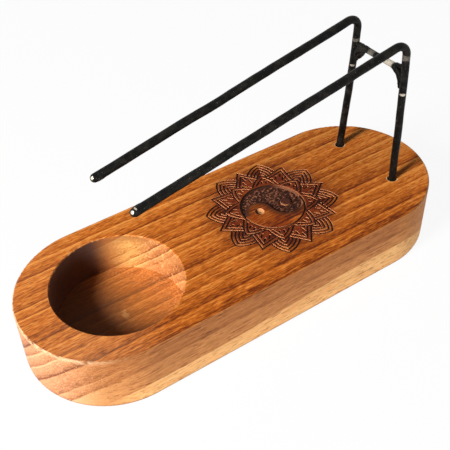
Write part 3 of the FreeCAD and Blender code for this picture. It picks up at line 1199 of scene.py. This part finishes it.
@dataclass
class Studio:
    """Pale floor, soft light from the recess end, a weak fill and the camera."""

    floor_half: float = 3.0
    floor_white: Colour = (0.9, 0.9, 0.9)
    shown_white: float = 0.93
    ambient: float = 0.03
    key_target: Triple = (0.0, 0.0, 26.0)
    key_distance: float = 1000.0
    key_elevation: float = 30.5
    key_turn: float = 11.0
    key_width: float = 260.0
    key_height: float = 400.0
    key_power: float = 17.2
    fill_power: float = 1.05
    fill_angle: float = 15.0
    fill_travel: Triple = (0.1, 1.0, -0.05)
    focal_pixels: float = 803.74
    frame_pixels: float = 450.0
    sensor: float = 36.0
    azimuth: float = -32.583
    elevation: float = 42.693
    roll: float = -1.893
    distance: float = 353.27
    target: Triple = (11.66, 25.65, 1.0)

    def build(self) -> None:
        """Set up the floor, the light and the camera."""
        self._floor()
        self._world()
        self._key()
        self._fill()
        self._camera()

    def _seen(self, graph: Graph) -> Value:
        """1 where a ray comes from the camera, a gloss or glass, and 0 where it carries light."""
        path = graph.node("ShaderNodeLightPath").outputs
        seen = Value(graph, path["Is Camera Ray"])
        for name in ("Is Glossy Ray", "Is Transmission Ray"):
            seen = seen.most(Value(graph, path[name]))
        return seen

    def _floor(self) -> None:
        """Pale floor whose shadows are softened towards white where it is seen."""
        material, graph = new_material("pale_floor")
        seen = self._seen(graph) * self.shown_white
        matt = graph.node("ShaderNodeBsdfDiffuse", None, {"Color": self.floor_white}).outputs[0]
        glow = graph.node("ShaderNodeEmission", None, {"Color": (1.0, 1.0, 1.0)}).outputs[0]
        mixed = graph.node("ShaderNodeMixShader", None, {0: seen, 1: matt, 2: glow}).outputs[0]
        graph.node("ShaderNodeOutputMaterial", None, {"Surface": mixed})
        mesh = bmesh.new()
        bmesh.ops.create_grid(mesh, x_segments=2, y_segments=2, size=self.floor_half / MM)
        bmesh.ops.translate(mesh, vec=(0, 0, -0.1), verts=mesh.verts)
        finished("floor", mesh, material)

    def _world(self) -> None:
        """Weak even light, white where it is seen."""
        world = bpy.data.worlds.new("studio")
        world.use_nodes = True
        bpy.context.scene.world = world
        graph = Graph(world.node_tree)
        strength = self._seen(graph) * (1 - self.ambient) + self.ambient
        inputs = {"Color": (1.0, 1.0, 1.0), "Strength": strength}
        sky = graph.node("ShaderNodeBackground", None, inputs).outputs[0]
        graph.node("ShaderNodeOutputWorld", None, {"Surface": sky})

    def _key(self) -> None:
        """Oval lamp off the recess end, near enough that its light falls off along the block."""
        lamp = bpy.data.lights.new("key_light", "AREA")
        lamp.shape = "ELLIPSE"
        lamp.size = self.key_width * MM
        lamp.size_y = self.key_height * MM
        lamp.energy = self.key_power
        rise, turn = math.radians(self.key_elevation), math.radians(self.key_turn)
        back = Vector((-math.cos(rise) * math.cos(turn), -math.cos(rise) * math.sin(turn), math.sin(rise)))
        place = Vector(self.key_target) + back * self.key_distance
        self._hung(lamp, -back).location = place * MM

    def _fill(self) -> None:
        """Low parallel light on the near side, which doesn't reach into the recess."""
        lamp = bpy.data.lights.new("fill_light", "SUN")
        lamp.energy = self.fill_power
        lamp.angle = math.radians(self.fill_angle)
        self._hung(lamp, Vector(self.fill_travel))

    def _hung(self, lamp: bpy.types.Light, travel: Vector) -> Object:
        """Add a lamp whose light goes in a direction."""
        item = bpy.data.objects.new(lamp.name, lamp)
        item.rotation_mode = "QUATERNION"
        item.rotation_quaternion = travel.to_track_quat("-Z", "Y")
        bpy.context.scene.collection.objects.link(item)
        return item

    def _camera(self) -> None:
        """Camera at the photograph's place."""
        azimuth, elevation = math.radians(self.azimuth), math.radians(self.elevation)
        level = Vector((math.sin(azimuth), -math.cos(azimuth), 0))
        back = level * math.cos(elevation) + Vector((0, 0, math.sin(elevation)))
        right = Vector((math.cos(azimuth), math.sin(azimuth), 0))
        turn = Matrix((right, back.cross(right), back)).transposed().to_4x4()
        place = (Vector(self.target) + back * self.distance) * MM
        data = bpy.data.cameras.new("camera")
        data.sensor_width = self.sensor
        data.lens = self.focal_pixels * self.sensor / self.frame_pixels
        data.clip_start = 0.01
        item = bpy.data.objects.new("camera", data)
        roll = Matrix.Rotation(math.radians(self.roll), 4, "Z")
        item.matrix_world = Matrix.Translation(place) @ turn @ roll
        bpy.context.scene.collection.objects.link(item)
        bpy.context.scene.camera = item
        bpy.context.scene.view_settings.view_transform = "Standard"


def main() -> None:
    """Build and dress the burner, log each piece's face count, and set up the studio."""
    logging.basicConfig(level=logging.INFO, format="%(message)s")
    noise.seed_set(WAVE_SEED)
    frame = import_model()
    for piece in Block().build(frame["nodes"]) + WireHolder().build():
        LOG.info("%s: %d faces", piece.name, len(piece.data.polygons))
    Studio().build()


if __name__ == "__main__":
    main()
